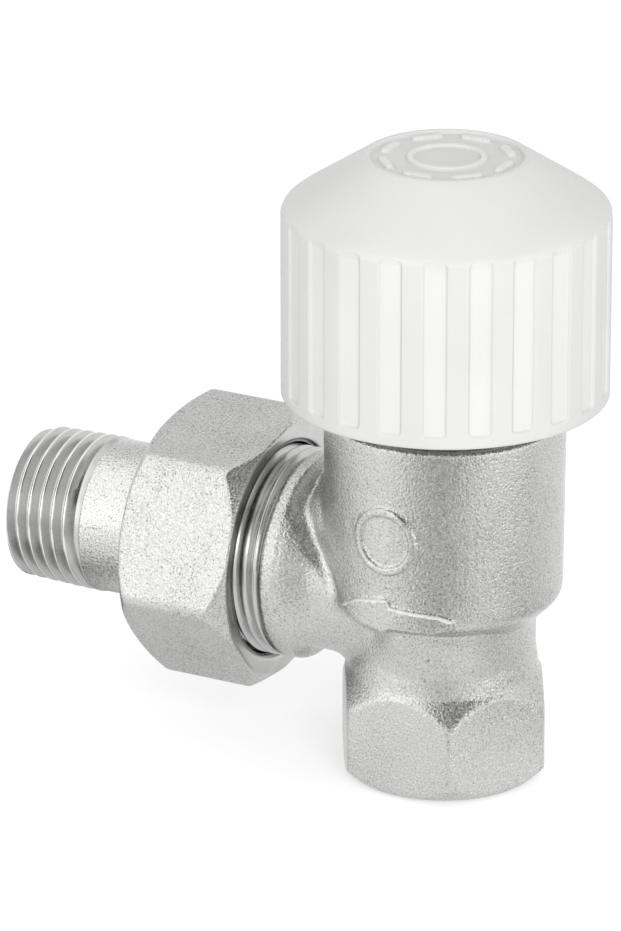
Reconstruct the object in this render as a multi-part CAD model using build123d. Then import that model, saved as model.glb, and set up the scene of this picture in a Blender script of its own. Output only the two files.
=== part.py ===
"""Angle radiator valve, DN15, with a thermostatic insert under a manual cap. Millimetres, +Z up."""
import math
import os
from build123d import *

# Main sizes. The inlet mouth centre is the origin and the outlet arm runs along -X.
ARM_Z = 26.0
TAIL_END = 60.8
CAP_R = 21.35
CAP_BOTTOM = 52.35
CAP_TOP = 84.7
CAP_DOME = 7.2
CAP_RIM_Z = CAP_TOP - CAP_DOME
LIFT = 3.0

# Clearances
RUN = 0.1
SLIDE = 0.3
SEAT_GAP = 0.1

# Forged body, outside
BARREL_R = 15.8
BARREL_FOOT_R = 15.6
BARREL_FOOT_Z = 25.4
BARREL_TOP = 49.6
BARREL_CHAMFER = 0.4
BARREL_FOOT_EDGE = 2.2
NECK_R = 12.15
NECK_TOP = NECK_R + BARREL_FOOT_Z - BARREL_FOOT_R
HEX_AF = 26.0
HEX_CORNER_R = HEX_AF / math.sqrt(3)
HEX_FOOT_R = 12.8
HEX_EDGE = 1.4
HEX_SIDE_TOP = 10.4
HEX_SHELF_R = NECK_R + 0.45
HEX_SHELF_TOP = 14.2
HEX_ROOT_Z = 17.6
ARM_R = 12.0
ARM_FLANGE_R = 13.9
ARM_FLANGE_X = 20.0
ARM_BLEND = 3.3
FLANGE_T = 1.8
FLANGE_CONE = 1.6
FLANGE_SINK = 0.1
RELIEF = 0.35
ARROW_RELIEF = 0.45
RING_X = -0.75
RING_Z = 36.8
RING_R = 4.5
RING_WIDTH = 0.9
ARROW = [
    (-7.9, 0),
    (-5.0, 1.9),
    (-0.4, 2.9),
    (0.2, 1.9),
    (6.6, 1.3),
    (8.2, 0.6),
    (8.4, -0.5),
    (6.0, -1.1),
    (0.2, -1.0),
    (-0.5, -1.7),
    (-5.0, -1.1),
]

# Cap connection M30 x 1.5 on top of the body
CAP_THREAD_R = 15.0
CAP_THREAD_TOP = 58.0
CAP_THREAD_CHAMFER = 0.8
UNDERCUT = 0.9
UNDERCUT_HEIGHT = 1.0

# Union thread M28 x 1.5
UNION_R = 14.0
UNION_ROOT_R = 13.1
UNION_PITCH = 1.5
UNION_END = 31.0
UNION_RUNOUT = 0.6

# Waterway
INLET_R = 9.316
INLET_DEPTH = 13.4
MOUTH_CHAMFER = 0.5
SEAT_BORE_R = 6.8
SEAT_LIP_R = 7.9
SEAT_Z = 20.0
SEAT_LIP = 1.4
SEAT_LIP_WALL = 0.6
SEAT_CONE = 1.2
CHAMBER_R = 10.0
CHAMBER_TOP = 37.2
INSERT_R = 12.0
OUTLET_R = 6.5
SOCKET_R = 9.3
SOCKET_DEPTH = 4.0
SOCKET_CONE = 1.0
SOCKET_CHAMFER = 0.5

# Union nut
NUT_AF = 33.5
NUT_CORNER_R = NUT_AF / math.sqrt(3)
NUT_TURN = 19.8
NUT_FRONT = 23.3
NUT_BACK = 40.2
NUT_FACE_R = 16.9
NUT_BACK_R = 15.6
NUT_EDGE = 2.0
NUT_FRONT_CHAMFER = 2.5
NUT_BACK_CHAMFER = 2.6
NUT_BACK_STEP = 1.2
NUT_BACK_DROP = 1.7
NUT_GAP = 0.1
NUT_LEAD = 0.6

# Tailpiece, R 1/2 thread
TAIL_R = 10.3
TAIL_THREAD_R = 10.4775
TAIL_ROOT_R = 9.4
TAIL_PITCH = 1.814
TAIL_THREAD_LENGTH = 12.2
TAIL_BORE_R = 6.8
COLLAR_R = 12.3
COLLAR_LENGTH = 3.3
NOSE_R = SOCKET_R - SLIDE
LUG_HEIGHT = 1.2
LUG_WIDTH = 3.0
LUG_SINK = 0.8
LUG_BACK = 4.0
LUG_FRONT = 2.0
COLLAR_GAP = 0.2
NOSE_GAP = 0.5
NOSE_CHAMFER = 0.3
TAIL_RUNOUT = 0.7
TAIL_LEAD = 0.9
TAIL_LEAD_STEP = 0.25
TAIL_CHAMFER = 0.4

# Seal rings, section radius
TAIL_SEAL = 0.6
HOUSING_SEAL = 0.65
GLAND_SEAL = 0.5
PIN_SEAL = 0.8

# Insert
HOUSING_NOSE_Z = 34.6
HOUSING_SHOULDER = CHAMBER_TOP + 0.2
HOUSING_HEX_AF = 22.0
HOUSING_TOP = 60.2
HOUSING_CHAMFER = 0.8
HOUSING_SEAL_UP = 3.4
GLAND_SEAL_UP = 5.0
SPRING_ROOM_R = 6.2
SPRING_FLOOR = 38.2
SPRING_R = 4.4
SPRING_WIRE = 0.5
SPRING_TURNS = 5.5
SPRING_GAP = 0.02
PLATE_Z = 50.0
PLATE_R = 5.4
PLATE_T = 1.0
CLIP_T = 0.7
CLIP_R = 3.4
STEM_R = 2.0
STEM_TOP = 52.8
STEM_CHAMFER = 0.3
STEM_TIP = 0.4
CLIP_GROOVE = 0.5
PIN_R = 1.5
PIN_FOOT_R = 2.4
PIN_TOP = 64.4
PIN_CHAMFER = 0.4
GLAND_FOOT = 53.4
GLAND_AF = 11.0
GLAND_TOP = 61.1
GLAND_ROOM_R = 3.3
GLAND_ROOM_TOP = 56.8
WASHER_T = 1.0
PLUG_R = 8.6
PLUG_T = 2.4
PLUG_CHAMFER = 0.5
PLUG_HUB_R = 4.0
PLUG_HUB = 2.4
DISC_R = 8.4
DISC_T = 2.0
PLUG_WASHER_R = 5.0
PLUG_WASHER_T = 0.6
PLUG_NUT_AF = 7.0
PLUG_NUT_T = 2.4

# Cap
FLUTES = 23
FLUTE_PHASE = 11.4
FLUTE_BOTTOM = CAP_BOTTOM + 1.6
FLUTE_TOP = CAP_RIM_Z + 0.1
FLUTE_CORNER = 0.7
FLUTE_DEPTH = 0.4
CAP_WALL = 1.9
CAP_SHOULDER_R = 19.95
CAP_SHOULDER_Z = CAP_RIM_Z + 1.1
CAP_DISC_R = 10.6
CAP_EDGE = 2.0
CAP_FOOT_EDGE = 0.5
SLEEVE_R = CAP_THREAD_R + SLIDE
SLEEVE_WALL = 2.0
SLEEVE_BOTTOM = BARREL_TOP + LIFT + SLIDE
BOSS_R = 4.0
RIBS = 6
RIB_T = 1.4
RIB_UP = 4.0
DISC_RIM = 0.7
DISC_RECESS = 0.5
MARK_HEIGHT = 0.4
MARKS = 8
MARK_R = 8.2
MARK_LENGTH = 4.2
MARK_WIDTH = 1.2
MARK_SINK = 0.2
MARK_RING_R = 5.2
MARK_RING_WIDTH = 0.9
CAP_CORNER = 1.2
BOSS_GAP = 0.05
JOIN = 0.5


def turned(points):
    face = make_face(Polyline(*[(r, 0, z) for r, z in points], close=True))
    return revolve(face, Axis.Z)


def turned_arm(points):
    face = make_face(Polyline(*[(-x, 0, ARM_Z + r) for x, r in points], close=True))
    return revolve(face, Axis((0, 0, ARM_Z), (1, 0, 0)))


def ring(outer, inner, bottom, top):
    return turned([(inner, bottom), (outer, bottom), (outer, top), (inner, top)])


def hex_bar(across, bottom, top, turn=0.0):
    shape = RegularPolygon(across / math.sqrt(3), 6)
    return Pos(0, 0, bottom) * extrude(Rot(0, 0, turn) * shape, top - bottom)


def seal_ring(radius, section, z):
    return Pos(0, 0, z) * Torus(radius, section)


def thread_profile(start, end, pitch, crest, root):
    """Ridges at even steps from start to end, as (station, radius)."""
    points = []
    flank = 0.34 * pitch
    flat = 0.16 * pitch
    count = int((end - start) / pitch)
    for i in range(count):
        x = start + i * pitch
        points += [(x, root), (x + flank, crest), (x + flank + flat, crest), (x + 2 * flank + flat, root)]
    return points


# Body: barrel, neck, hexagon end and arm are one forging
barrel = turned([
    (0, HEX_SIDE_TOP),
    (NECK_R, HEX_SIDE_TOP),
    (NECK_R, NECK_TOP),
    (BARREL_FOOT_R, BARREL_FOOT_Z),
    (BARREL_R, BARREL_TOP - BARREL_CHAMFER),
    (BARREL_R - BARREL_CHAMFER, BARREL_TOP),
    (CAP_THREAD_R - UNDERCUT, BARREL_TOP),
    (CAP_THREAD_R - UNDERCUT, BARREL_TOP + UNDERCUT_HEIGHT),
    (CAP_THREAD_R, BARREL_TOP + UNDERCUT_HEIGHT + UNDERCUT),
    (CAP_THREAD_R, CAP_THREAD_TOP - CAP_THREAD_CHAMFER),
    (CAP_THREAD_R - CAP_THREAD_CHAMFER, CAP_THREAD_TOP),
    (0, CAP_THREAD_TOP),
])
foot_edge = [e for e in barrel.edges() if abs(e.center().Z - BARREL_FOOT_Z) < 0.01]
barrel = fillet(foot_edge, BARREL_FOOT_EDGE)
arm = turned_arm([(0, 0), (0, ARM_R), (UNION_END - 1, ARM_R), (UNION_END - 1, 0)])
body = barrel + arm
curved = [e for e in body.edges() if e.geom_type not in (GeomType.CIRCLE, GeomType.LINE)]
joint_edges = [e for e in curved if -1.1 * BARREL_R < e.center().X < -0.3 * BARREL_R]
body = fillet(joint_edges, ARM_BLEND)
body += turned_arm([
    (ARM_FLANGE_X - FLANGE_T - FLANGE_CONE, 0),
    (ARM_FLANGE_X - FLANGE_T - FLANGE_CONE, ARM_R - FLANGE_SINK),
    (ARM_FLANGE_X - FLANGE_T, ARM_FLANGE_R),
    (ARM_FLANGE_X, ARM_FLANGE_R),
    (ARM_FLANGE_X, 0),
])
hex_end = hex_bar(HEX_AF, 0, HEX_ROOT_Z)
upright = [e for e in hex_end.edges() if abs(e.tangent_at(0.5).Z) > 0.9]
hex_end = fillet(upright, HEX_EDGE)
hex_end &= turned([
    (0, 0),
    (HEX_FOOT_R, 0),
    (HEX_CORNER_R, HEX_CORNER_R - HEX_FOOT_R),
    (HEX_CORNER_R, HEX_SIDE_TOP),
    (HEX_SHELF_R, HEX_SHELF_TOP),
    (NECK_R, HEX_ROOT_Z),
    (0, HEX_ROOT_Z),
])
body += hex_end
thread_start = ARM_FLANGE_X + UNION_RUNOUT
spigot = turned_arm(
    [(ARM_FLANGE_X - FLANGE_T / 2, 0), (ARM_FLANGE_X - FLANGE_T / 2, UNION_ROOT_R)]
    + thread_profile(thread_start, UNION_END, UNION_PITCH, UNION_R, UNION_ROOT_R)
    + [(UNION_END, UNION_ROOT_R), (UNION_END, 0)]
)
body += spigot
# Raised ring and flow arrow on the -Y side, following the barrel
front = Plane(origin=(0, 0, 0), x_dir=(1, 0, 0), z_dir=(0, -1, 0))
badge = front * (Pos(RING_X, RING_Z) * (Circle(RING_R) - Circle(RING_R - RING_WIDTH)))
badge = extrude(badge, 2 * BARREL_R) & Pos(0, 0, RING_Z) * Cylinder(BARREL_R + RELIEF, 4 * RING_R)
arrow_outline = [(x, ARM_Z + z) for x, z in ARROW]
arrow = front * make_face(Polyline(*arrow_outline, close=True))
arrow = extrude(arrow, 2 * BARREL_R) & Pos(0, 0, ARM_Z) * Cylinder(BARREL_R + ARROW_RELIEF, ARM_R)
body = body + badge + arrow
# Waterway
body -= turned([
    (0, -1),
    (INLET_R + MOUTH_CHAMFER + 1, -1),
    (INLET_R, MOUTH_CHAMFER),
    (INLET_R, INLET_DEPTH),
    (SEAT_BORE_R, INLET_DEPTH + SEAT_CONE),
    (SEAT_BORE_R, SEAT_Z),
    (SEAT_LIP_R, SEAT_Z),
    (SEAT_LIP_R, SEAT_Z - SEAT_LIP),
    (CHAMBER_R, SEAT_Z - SEAT_LIP),
    (CHAMBER_R, CHAMBER_TOP),
    (INSERT_R, CHAMBER_TOP),
    (INSERT_R, CAP_THREAD_TOP + 1),
    (0, CAP_THREAD_TOP + 1),
])
body -= turned_arm([
    (SEAT_LIP_R + SEAT_LIP_WALL, 0),
    (SEAT_LIP_R + SEAT_LIP_WALL, OUTLET_R),
    (UNION_END - SOCKET_DEPTH - SOCKET_CONE, OUTLET_R),
    (UNION_END - SOCKET_DEPTH, SOCKET_R),
    (UNION_END - SOCKET_CHAMFER, SOCKET_R),
    (UNION_END + SOCKET_CHAMFER, SOCKET_R + 2 * SOCKET_CHAMFER),
    (UNION_END + SOCKET_CHAMFER, 0),
])

# Tailpiece
collar_front = UNION_END + COLLAR_GAP
collar_back = collar_front + COLLAR_LENGTH
nose_front = UNION_END - SOCKET_DEPTH + NOSE_GAP
groove_mid = (nose_front + collar_front) / 2
groove_root = SOCKET_R - RUN - 2 * TAIL_SEAL - RUN
tail_thread_start = TAIL_END - TAIL_THREAD_LENGTH
tail_lead_r = TAIL_THREAD_R - TAIL_LEAD_STEP
tail = turned_arm(
    [
        (nose_front, TAIL_BORE_R),
        (nose_front, NOSE_R - NOSE_CHAMFER),
        (nose_front + NOSE_CHAMFER, NOSE_R),
        (groove_mid - TAIL_SEAL - RUN, NOSE_R),
        (groove_mid - TAIL_SEAL - RUN, groove_root),
        (groove_mid + TAIL_SEAL + RUN, groove_root),
        (groove_mid + TAIL_SEAL + RUN, NOSE_R),
        (collar_front, NOSE_R),
        (collar_front, COLLAR_R),
        (collar_back, COLLAR_R),
        (collar_back, TAIL_R),
        (tail_thread_start - TAIL_RUNOUT, TAIL_R),
    ]
    + thread_profile(tail_thread_start, TAIL_END - TAIL_LEAD, TAIL_PITCH, TAIL_THREAD_R, TAIL_ROOT_R)
    + [
        (TAIL_END - TAIL_LEAD + TAIL_LEAD_STEP, tail_lead_r),
        (TAIL_END - TAIL_CHAMFER, tail_lead_r),
        (TAIL_END, tail_lead_r - TAIL_CHAMFER),
        (TAIL_END, TAIL_BORE_R),
    ]
)
lug_length = TAIL_END - LUG_FRONT - collar_back - LUG_BACK
for side in (-1, 1):
    lug = Box(lug_length, LUG_HEIGHT + LUG_SINK, LUG_WIDTH)
    lug_y = side * (TAIL_BORE_R - LUG_HEIGHT / 2 + LUG_SINK / 2)
    tail += Pos(-(collar_back + LUG_BACK + lug_length / 2), lug_y, ARM_Z) * lug
tail_seal = Pos(-groove_mid, 0, ARM_Z) * Rot(0, 90, 0) * Torus(SOCKET_R - RUN - TAIL_SEAL, TAIL_SEAL)

# Union nut, held on the tailpiece by its collar
nut_shape = Rot(0, -90, 0) * Rot(0, 0, NUT_TURN) * RegularPolygon(NUT_CORNER_R, 6)
nut = extrude(Pos(-NUT_FRONT, 0, ARM_Z) * nut_shape, NUT_BACK - NUT_FRONT, dir=(-1, 0, 0))
long_edges = [e for e in nut.edges() if abs(e.tangent_at(0.5).X) > 0.9]
nut = fillet(long_edges, NUT_EDGE)
nut &= turned_arm([
    (NUT_FRONT, 0),
    (NUT_FRONT, NUT_FACE_R),
    (NUT_FRONT + NUT_FRONT_CHAMFER, NUT_CORNER_R),
    (NUT_BACK - NUT_BACK_CHAMFER, NUT_CORNER_R),
    (NUT_BACK - NUT_BACK_STEP, NUT_CORNER_R - NUT_BACK_DROP),
    (NUT_BACK, NUT_BACK_R),
    (NUT_BACK, 0),
])
nut_shoulder = collar_back + NUT_GAP
nut -= turned_arm([
    (NUT_FRONT - 1, 0),
    (NUT_FRONT - 1, UNION_R + SLIDE + NUT_LEAD + 1),
    (NUT_FRONT + NUT_LEAD, UNION_R + SLIDE),
    (nut_shoulder, UNION_R + SLIDE),
    (nut_shoulder, TAIL_THREAD_R + SLIDE),
    (NUT_BACK + 1, TAIL_THREAD_R + SLIDE),
    (NUT_BACK + 1, 0),
])

# Insert housing with its seal
housing_seal_z = HOUSING_SHOULDER + HOUSING_SEAL_UP
housing_groove_r = INSERT_R - RUN - 2 * HOUSING_SEAL
housing = turned([
    (STEM_R + RUN, HOUSING_NOSE_Z),
    (CHAMBER_R - SLIDE - HOUSING_CHAMFER, HOUSING_NOSE_Z),
    (CHAMBER_R - SLIDE, HOUSING_NOSE_Z + HOUSING_CHAMFER),
    (CHAMBER_R - SLIDE, HOUSING_SHOULDER),
    (INSERT_R - RUN, HOUSING_SHOULDER),
    (INSERT_R - RUN, housing_seal_z - HOUSING_SEAL - RUN),
    (housing_groove_r - RUN, housing_seal_z - HOUSING_SEAL - RUN),
    (housing_groove_r - RUN, housing_seal_z + HOUSING_SEAL + RUN),
    (INSERT_R - RUN, housing_seal_z + HOUSING_SEAL + RUN),
    (INSERT_R - RUN, CAP_THREAD_TOP + RUN),
    (SPRING_ROOM_R, CAP_THREAD_TOP + RUN),
    (SPRING_ROOM_R, SPRING_FLOOR),
    (STEM_R + RUN, SPRING_FLOOR),
])
housing_head = hex_bar(HOUSING_HEX_AF, CAP_THREAD_TOP + RUN, HOUSING_TOP)
housing += housing_head - ring(SPRING_ROOM_R, 0, SPRING_FLOOR, HOUSING_TOP + 1)
housing_seal = seal_ring(housing_groove_r + HOUSING_SEAL, HOUSING_SEAL, housing_seal_z)

# Gland with its pin and seals
gland_seal_z = GLAND_FOOT + GLAND_SEAL_UP
gland_r = SPRING_ROOM_R - RUN
gland_groove_r = gland_r - 2 * GLAND_SEAL - RUN
gland = turned([
    (GLAND_ROOM_R, GLAND_FOOT),
    (gland_r, GLAND_FOOT),
    (gland_r, gland_seal_z - GLAND_SEAL - RUN),
    (gland_groove_r, gland_seal_z - GLAND_SEAL - RUN),
    (gland_groove_r, gland_seal_z + GLAND_SEAL + RUN),
    (gland_r, gland_seal_z + GLAND_SEAL + RUN),
    (gland_r, HOUSING_TOP + RUN),
    (PIN_R + RUN, HOUSING_TOP + RUN),
    (PIN_R + RUN, GLAND_ROOM_TOP),
    (GLAND_ROOM_R, GLAND_ROOM_TOP),
])
gland_head = hex_bar(GLAND_AF, HOUSING_TOP + RUN, GLAND_TOP)
gland += gland_head - ring(PIN_R + RUN, 0, GLAND_FOOT, GLAND_TOP + 1)
gland_seal = seal_ring(gland_groove_r + RUN / 2 + GLAND_SEAL, GLAND_SEAL, gland_seal_z)
gland_washer = ring(GLAND_ROOM_R - RUN / 2, PIN_R + RUN, GLAND_FOOT, GLAND_FOOT + WASHER_T)
pin_seal_z = GLAND_FOOT + WASHER_T + RUN + PIN_SEAL
pin_seal = seal_ring(PIN_R + RUN / 2 + PIN_SEAL, PIN_SEAL, pin_seal_z)
gland_pin = turned([
    (0, STEM_TOP),
    (PIN_FOOT_R, STEM_TOP),
    (PIN_FOOT_R, GLAND_FOOT - RUN),
    (PIN_R, GLAND_FOOT - RUN),
    (PIN_R, PIN_TOP - PIN_CHAMFER),
    (PIN_R - PIN_CHAMFER, PIN_TOP),
    (0, PIN_TOP),
])

# Stem with disc, plate and clip
disc_z = SEAT_Z + SEAT_GAP + LIFT
plug_z = disc_z + DISC_T
nut_top = disc_z - PLUG_WASHER_T
stem_foot = nut_top - PLUG_NUT_T - STEM_TIP
stem = turned([
    (0, stem_foot),
    (STEM_R - STEM_CHAMFER, stem_foot),
    (STEM_R, stem_foot + STEM_CHAMFER),
    (STEM_R, PLATE_Z + PLATE_T),
    (STEM_R - CLIP_GROOVE, PLATE_Z + PLATE_T),
    (STEM_R - CLIP_GROOVE, PLATE_Z + PLATE_T + CLIP_T),
    (STEM_R, PLATE_Z + PLATE_T + CLIP_T),
    (STEM_R, STEM_TOP),
    (0, STEM_TOP),
])
plug = turned([
    (STEM_R, plug_z),
    (PLUG_R, plug_z),
    (PLUG_R, plug_z + PLUG_T - PLUG_CHAMFER),
    (PLUG_R - PLUG_CHAMFER, plug_z + PLUG_T),
    (PLUG_HUB_R, plug_z + PLUG_T),
    (PLUG_HUB_R, plug_z + PLUG_T + PLUG_HUB),
    (STEM_R, plug_z + PLUG_T + PLUG_HUB),
])
disc = ring(DISC_R, STEM_R, disc_z, plug_z)
plug_washer = ring(PLUG_WASHER_R, STEM_R, nut_top, disc_z)
plug_nut = hex_bar(PLUG_NUT_AF, nut_top - PLUG_NUT_T, nut_top)
plug_nut -= ring(STEM_R, 0, nut_top - PLUG_NUT_T - 1, nut_top + 1)
plate = ring(PLATE_R, STEM_R, PLATE_Z, PLATE_Z + PLATE_T)
clip_z = PLATE_Z + PLATE_T
clip_mouth = 2 * (STEM_R - CLIP_GROOVE - RUN)
clip = ring(CLIP_R, STEM_R - CLIP_GROOVE, clip_z, clip_z + CLIP_T)
clip -= Pos(CLIP_R, 0, clip_z + CLIP_T / 2) * Box(2 * CLIP_R, clip_mouth, 2 * CLIP_T)

# Return spring between the housing floor and the plate
spring_bottom = SPRING_FLOOR + SPRING_WIRE + SPRING_GAP
spring_height = PLATE_Z - SPRING_FLOOR - 2 * (SPRING_WIRE + SPRING_GAP)
coil = Pos(0, 0, spring_bottom) * Helix(spring_height / SPRING_TURNS, spring_height, SPRING_R)
wire_plane = Plane(origin=coil @ 0, z_dir=coil % 0)
spring = sweep(wire_plane * Circle(SPRING_WIRE), path=coil)

# Cap
cap = turned([
    (0, CAP_BOTTOM),
    (CAP_R, CAP_BOTTOM),
    (CAP_R, CAP_RIM_Z),
    (CAP_SHOULDER_R, CAP_SHOULDER_Z),
    (CAP_DISC_R, CAP_TOP),
    (0, CAP_TOP),
])
rim_edge = [e for e in cap.edges() if abs(e.center().Z - CAP_RIM_Z) < 0.01]
cap = fillet(rim_edge, CAP_EDGE)
foot_edge = [e for e in cap.edges() if abs(e.center().Z - CAP_BOTTOM) < 0.01]
cap = fillet(foot_edge, CAP_FOOT_EDGE)
flute_width = math.pi * CAP_R / FLUTES
flute_height = FLUTE_TOP - FLUTE_BOTTOM
flute = Box(2 * CAP_WALL, flute_width, flute_height)
flute = fillet(flute.edges().filter_by(Axis.X), FLUTE_CORNER)
flute = Pos(CAP_R - FLUTE_DEPTH + CAP_WALL, 0, FLUTE_BOTTOM + flute_height / 2) * flute
cap -= [Rot(0, 0, FLUTE_PHASE + i * 360 / FLUTES) * flute for i in range(FLUTES)]
room_r = CAP_R - CAP_WALL
room_top_r = CAP_SHOULDER_R - CAP_WALL
sleeve_out = SLEEVE_R + SLEEVE_WALL
ceiling = CAP_TOP - 1.6 * CAP_WALL
under_shoulder = CAP_SHOULDER_Z - CAP_WALL
cap -= turned([
    (0, CAP_BOTTOM - 1),
    (room_r, CAP_BOTTOM - 1),
    (room_r, under_shoulder - CAP_CORNER),
    (room_top_r, under_shoulder),
    (CAP_DISC_R - CAP_WALL, ceiling),
    (0, ceiling),
])
sleeve = ring(sleeve_out, SLEEVE_R, SLEEVE_BOTTOM, under_shoulder + JOIN)
boss = ring(BOSS_R, 0, PIN_TOP + BOSS_GAP, ceiling + JOIN)
cap = cap + sleeve + boss
rib_length = room_r - sleeve_out + JOIN
rib_bottom = SLEEVE_BOTTOM + RIB_UP
rib = Box(rib_length, RIB_T, under_shoulder - rib_bottom)
rib = Pos((room_r + sleeve_out) / 2, 0, (under_shoulder + rib_bottom) / 2) * rib
cap += [Rot(0, 0, i * 360 / RIBS) * rib for i in range(RIBS)]
cap -= ring(CAP_DISC_R - DISC_RIM, 0, CAP_TOP - DISC_RECESS, CAP_TOP + 1)
mark_low = CAP_TOP - DISC_RECESS - MARK_SINK
mark_top = CAP_TOP - DISC_RECESS + MARK_HEIGHT
cap += ring(MARK_RING_R, MARK_RING_R - MARK_RING_WIDTH, mark_low, mark_top)
mark = Pos(MARK_R, 0, (mark_low + mark_top) / 2) * Box(MARK_WIDTH, MARK_LENGTH, mark_top - mark_low)
cap += [Rot(0, 0, i * 360 / MARKS) * mark for i in range(MARKS)]

pieces = {
    "valve_body": body,
    "union_nut": nut,
    "tailpiece": tail,
    "tail_seal": tail_seal,
    "insert_housing": housing,
    "housing_seal": housing_seal,
    "gland_nut": gland,
    "gland_seal": gland_seal,
    "gland_washer": gland_washer,
    "pin_seal": pin_seal,
    "gland_pin": gland_pin,
    "stem": stem,
    "stem_clip": clip,
    "spring_plate": plate,
    "return_spring": spring,
    "valve_plug": plug,
    "disc_seal": disc,
    "plug_washer": plug_washer,
    "plug_nut": plug_nut,
    "handwheel": cap,
}
os.makedirs("parts", exist_ok=True)
for name, shape in pieces.items():
    export_step(shape, f"parts/{name}.step")
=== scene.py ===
import math

import bmesh
import bpy
import numpy as np
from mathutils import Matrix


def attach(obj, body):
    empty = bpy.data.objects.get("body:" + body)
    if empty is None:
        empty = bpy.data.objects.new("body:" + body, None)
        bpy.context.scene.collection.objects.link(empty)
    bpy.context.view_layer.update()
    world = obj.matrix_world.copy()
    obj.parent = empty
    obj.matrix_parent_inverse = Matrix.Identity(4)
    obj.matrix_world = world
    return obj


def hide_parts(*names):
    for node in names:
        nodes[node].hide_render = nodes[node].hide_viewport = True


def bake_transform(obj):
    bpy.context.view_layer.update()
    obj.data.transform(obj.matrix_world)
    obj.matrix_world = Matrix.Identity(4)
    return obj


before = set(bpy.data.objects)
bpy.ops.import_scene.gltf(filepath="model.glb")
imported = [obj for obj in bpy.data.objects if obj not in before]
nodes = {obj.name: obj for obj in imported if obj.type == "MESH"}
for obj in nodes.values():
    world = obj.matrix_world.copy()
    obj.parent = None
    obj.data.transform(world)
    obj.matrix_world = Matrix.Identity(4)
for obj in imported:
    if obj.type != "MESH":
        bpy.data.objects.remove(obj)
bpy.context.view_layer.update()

mm = 0.001
print("frame loaded:", len(nodes), "nodes")


# finishes
def newFinish(name):
    mat = bpy.data.materials.new(name)
    mat.use_nodes = True
    tree = mat.node_tree
    return mat, tree, tree.nodes["Principled BSDF"]


def noiseNode(tree, coords, scale, detail=2.0, rough=0.5):
    tex = tree.nodes.new("ShaderNodeTexNoise")
    tex.inputs["Scale"].default_value = scale
    tex.inputs["Detail"].default_value = detail
    tex.inputs["Roughness"].default_value = rough
    tree.links.new(coords, tex.inputs["Vector"])
    return tex.outputs["Fac"]


def rampNode(tree, fac, stops):
    ramp = tree.nodes.new("ShaderNodeValToRGB")
    el = ramp.color_ramp.elements
    while len(el) < len(stops):
        el.new(0.5)
    for e, (pos, col) in zip(el, stops):
        e.position = pos
        e.color = (*col, 1) if isinstance(col, tuple) else (col, col, col, 1)
    tree.links.new(fac, ramp.inputs["Fac"])
    return ramp.outputs["Color"]


def bumpNode(tree, height, strength, distance, under=None):
    bump = tree.nodes.new("ShaderNodeBump")
    bump.inputs["Strength"].default_value = strength
    bump.inputs["Distance"].default_value = distance
    tree.links.new(height, bump.inputs["Height"])
    if under is not None:
        tree.links.new(under, bump.inputs["Normal"])
    return bump.outputs["Normal"]


def objectCoords(tree):
    return tree.nodes.new("ShaderNodeTexCoord").outputs["Object"]


def blastedNickel(name, shade=0.505, rough=(0.22, 0.34), grain=0.42, speck=0.28):
    # shot-blasted plating: each small facet takes its own tone and tilt, over a faint cloudiness
    mat, tree, bsdf = newFinish(name)
    co = objectCoords(tree)
    fine = noiseNode(tree, co, 4000, 1.5, 0.6)
    cloud = noiseNode(tree, co, 120, 3.0, 0.55)
    pits = noiseNode(tree, co, 2900, 2.0, 0.55)
    tone = tree.nodes.new("ShaderNodeMix")
    tone.data_type = "FLOAT"
    tone.inputs[0].default_value = 0.2
    tree.links.new(fine, tone.inputs[2])
    tree.links.new(cloud, tone.inputs[3])
    stops = [(pos, (v, v, v * 0.985)) for pos, v in
             ((0.30, shade * (1 - 2 * speck)), (0.42, shade * 0.98), (0.72, shade * (1 + speck)))]
    tree.links.new(rampNode(tree, tone.outputs[0], stops), bsdf.inputs["Base Color"])
    tree.links.new(rampNode(tree, pits, [(0.3, rough[0]), (0.7, rough[1])]), bsdf.inputs["Roughness"])
    bsdf.inputs["Metallic"].default_value = 1.0
    n = bumpNode(tree, pits, grain, 0.00034)
    n = bumpNode(tree, fine, grain, 0.00012, n)
    tree.links.new(n, bsdf.inputs["Normal"])
    return mat


def turnedMetal(name, shade, rough, lines=0.25, axis="X", metal=1.0):
    # lathe-turned face: fine rings round the turning axis
    mat, tree, bsdf = newFinish(name)
    co = objectCoords(tree)
    sep = tree.nodes.new("ShaderNodeSeparateXYZ")
    tree.links.new(co, sep.inputs[0])
    comb = tree.nodes.new("ShaderNodeCombineXYZ")
    tree.links.new(sep.outputs[axis], comb.inputs["X"])
    rings = noiseNode(tree, comb.outputs[0], 9000, 2.0, 0.6)
    smear = noiseNode(tree, co, 420, 3.0, 0.6)
    lo = tuple(c * 0.86 for c in shade)
    tree.links.new(rampNode(tree, smear, [(0.3, lo), (0.7, shade)]), bsdf.inputs["Base Color"])
    gloss = rampNode(tree, smear, [(0.3, rough * 0.8), (0.7, rough * 1.25)])
    tree.links.new(gloss, bsdf.inputs["Roughness"])
    bsdf.inputs["Metallic"].default_value = metal
    tree.links.new(bumpNode(tree, rings, lines, 0.00002), bsdf.inputs["Normal"])
    return mat


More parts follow.
